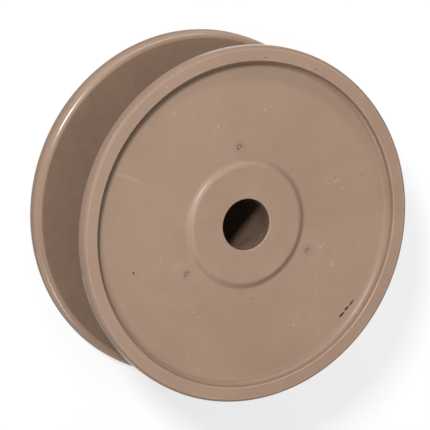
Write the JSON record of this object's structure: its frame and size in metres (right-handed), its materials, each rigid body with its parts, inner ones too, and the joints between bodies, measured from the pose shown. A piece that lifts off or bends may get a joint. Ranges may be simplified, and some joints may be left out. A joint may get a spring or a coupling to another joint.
{
  "type": "idler wheel",
  "caption": "Moulded plastic idler wheel: a wide-grooved spool with flat flanges, raised rims, recessed webs and a plain bore that turns on a fixed axle.",
  "frame": {"origin": "centre of the wheel, on the bore's axis and half way between the rims", "axes": "+Z along the bore's axis, towards the face with the gate marks; +Y through one of the gate marks"},
  "size_m": [0.178, 0.178, 0.0668],
  "materials": {
    "tan_plastic": "semi-matt moulded plastic, tan brown all through"
  },
  "bodies": {
    "root": {"idler_wheel": "tan_plastic"}
  },
  "joints": []
}
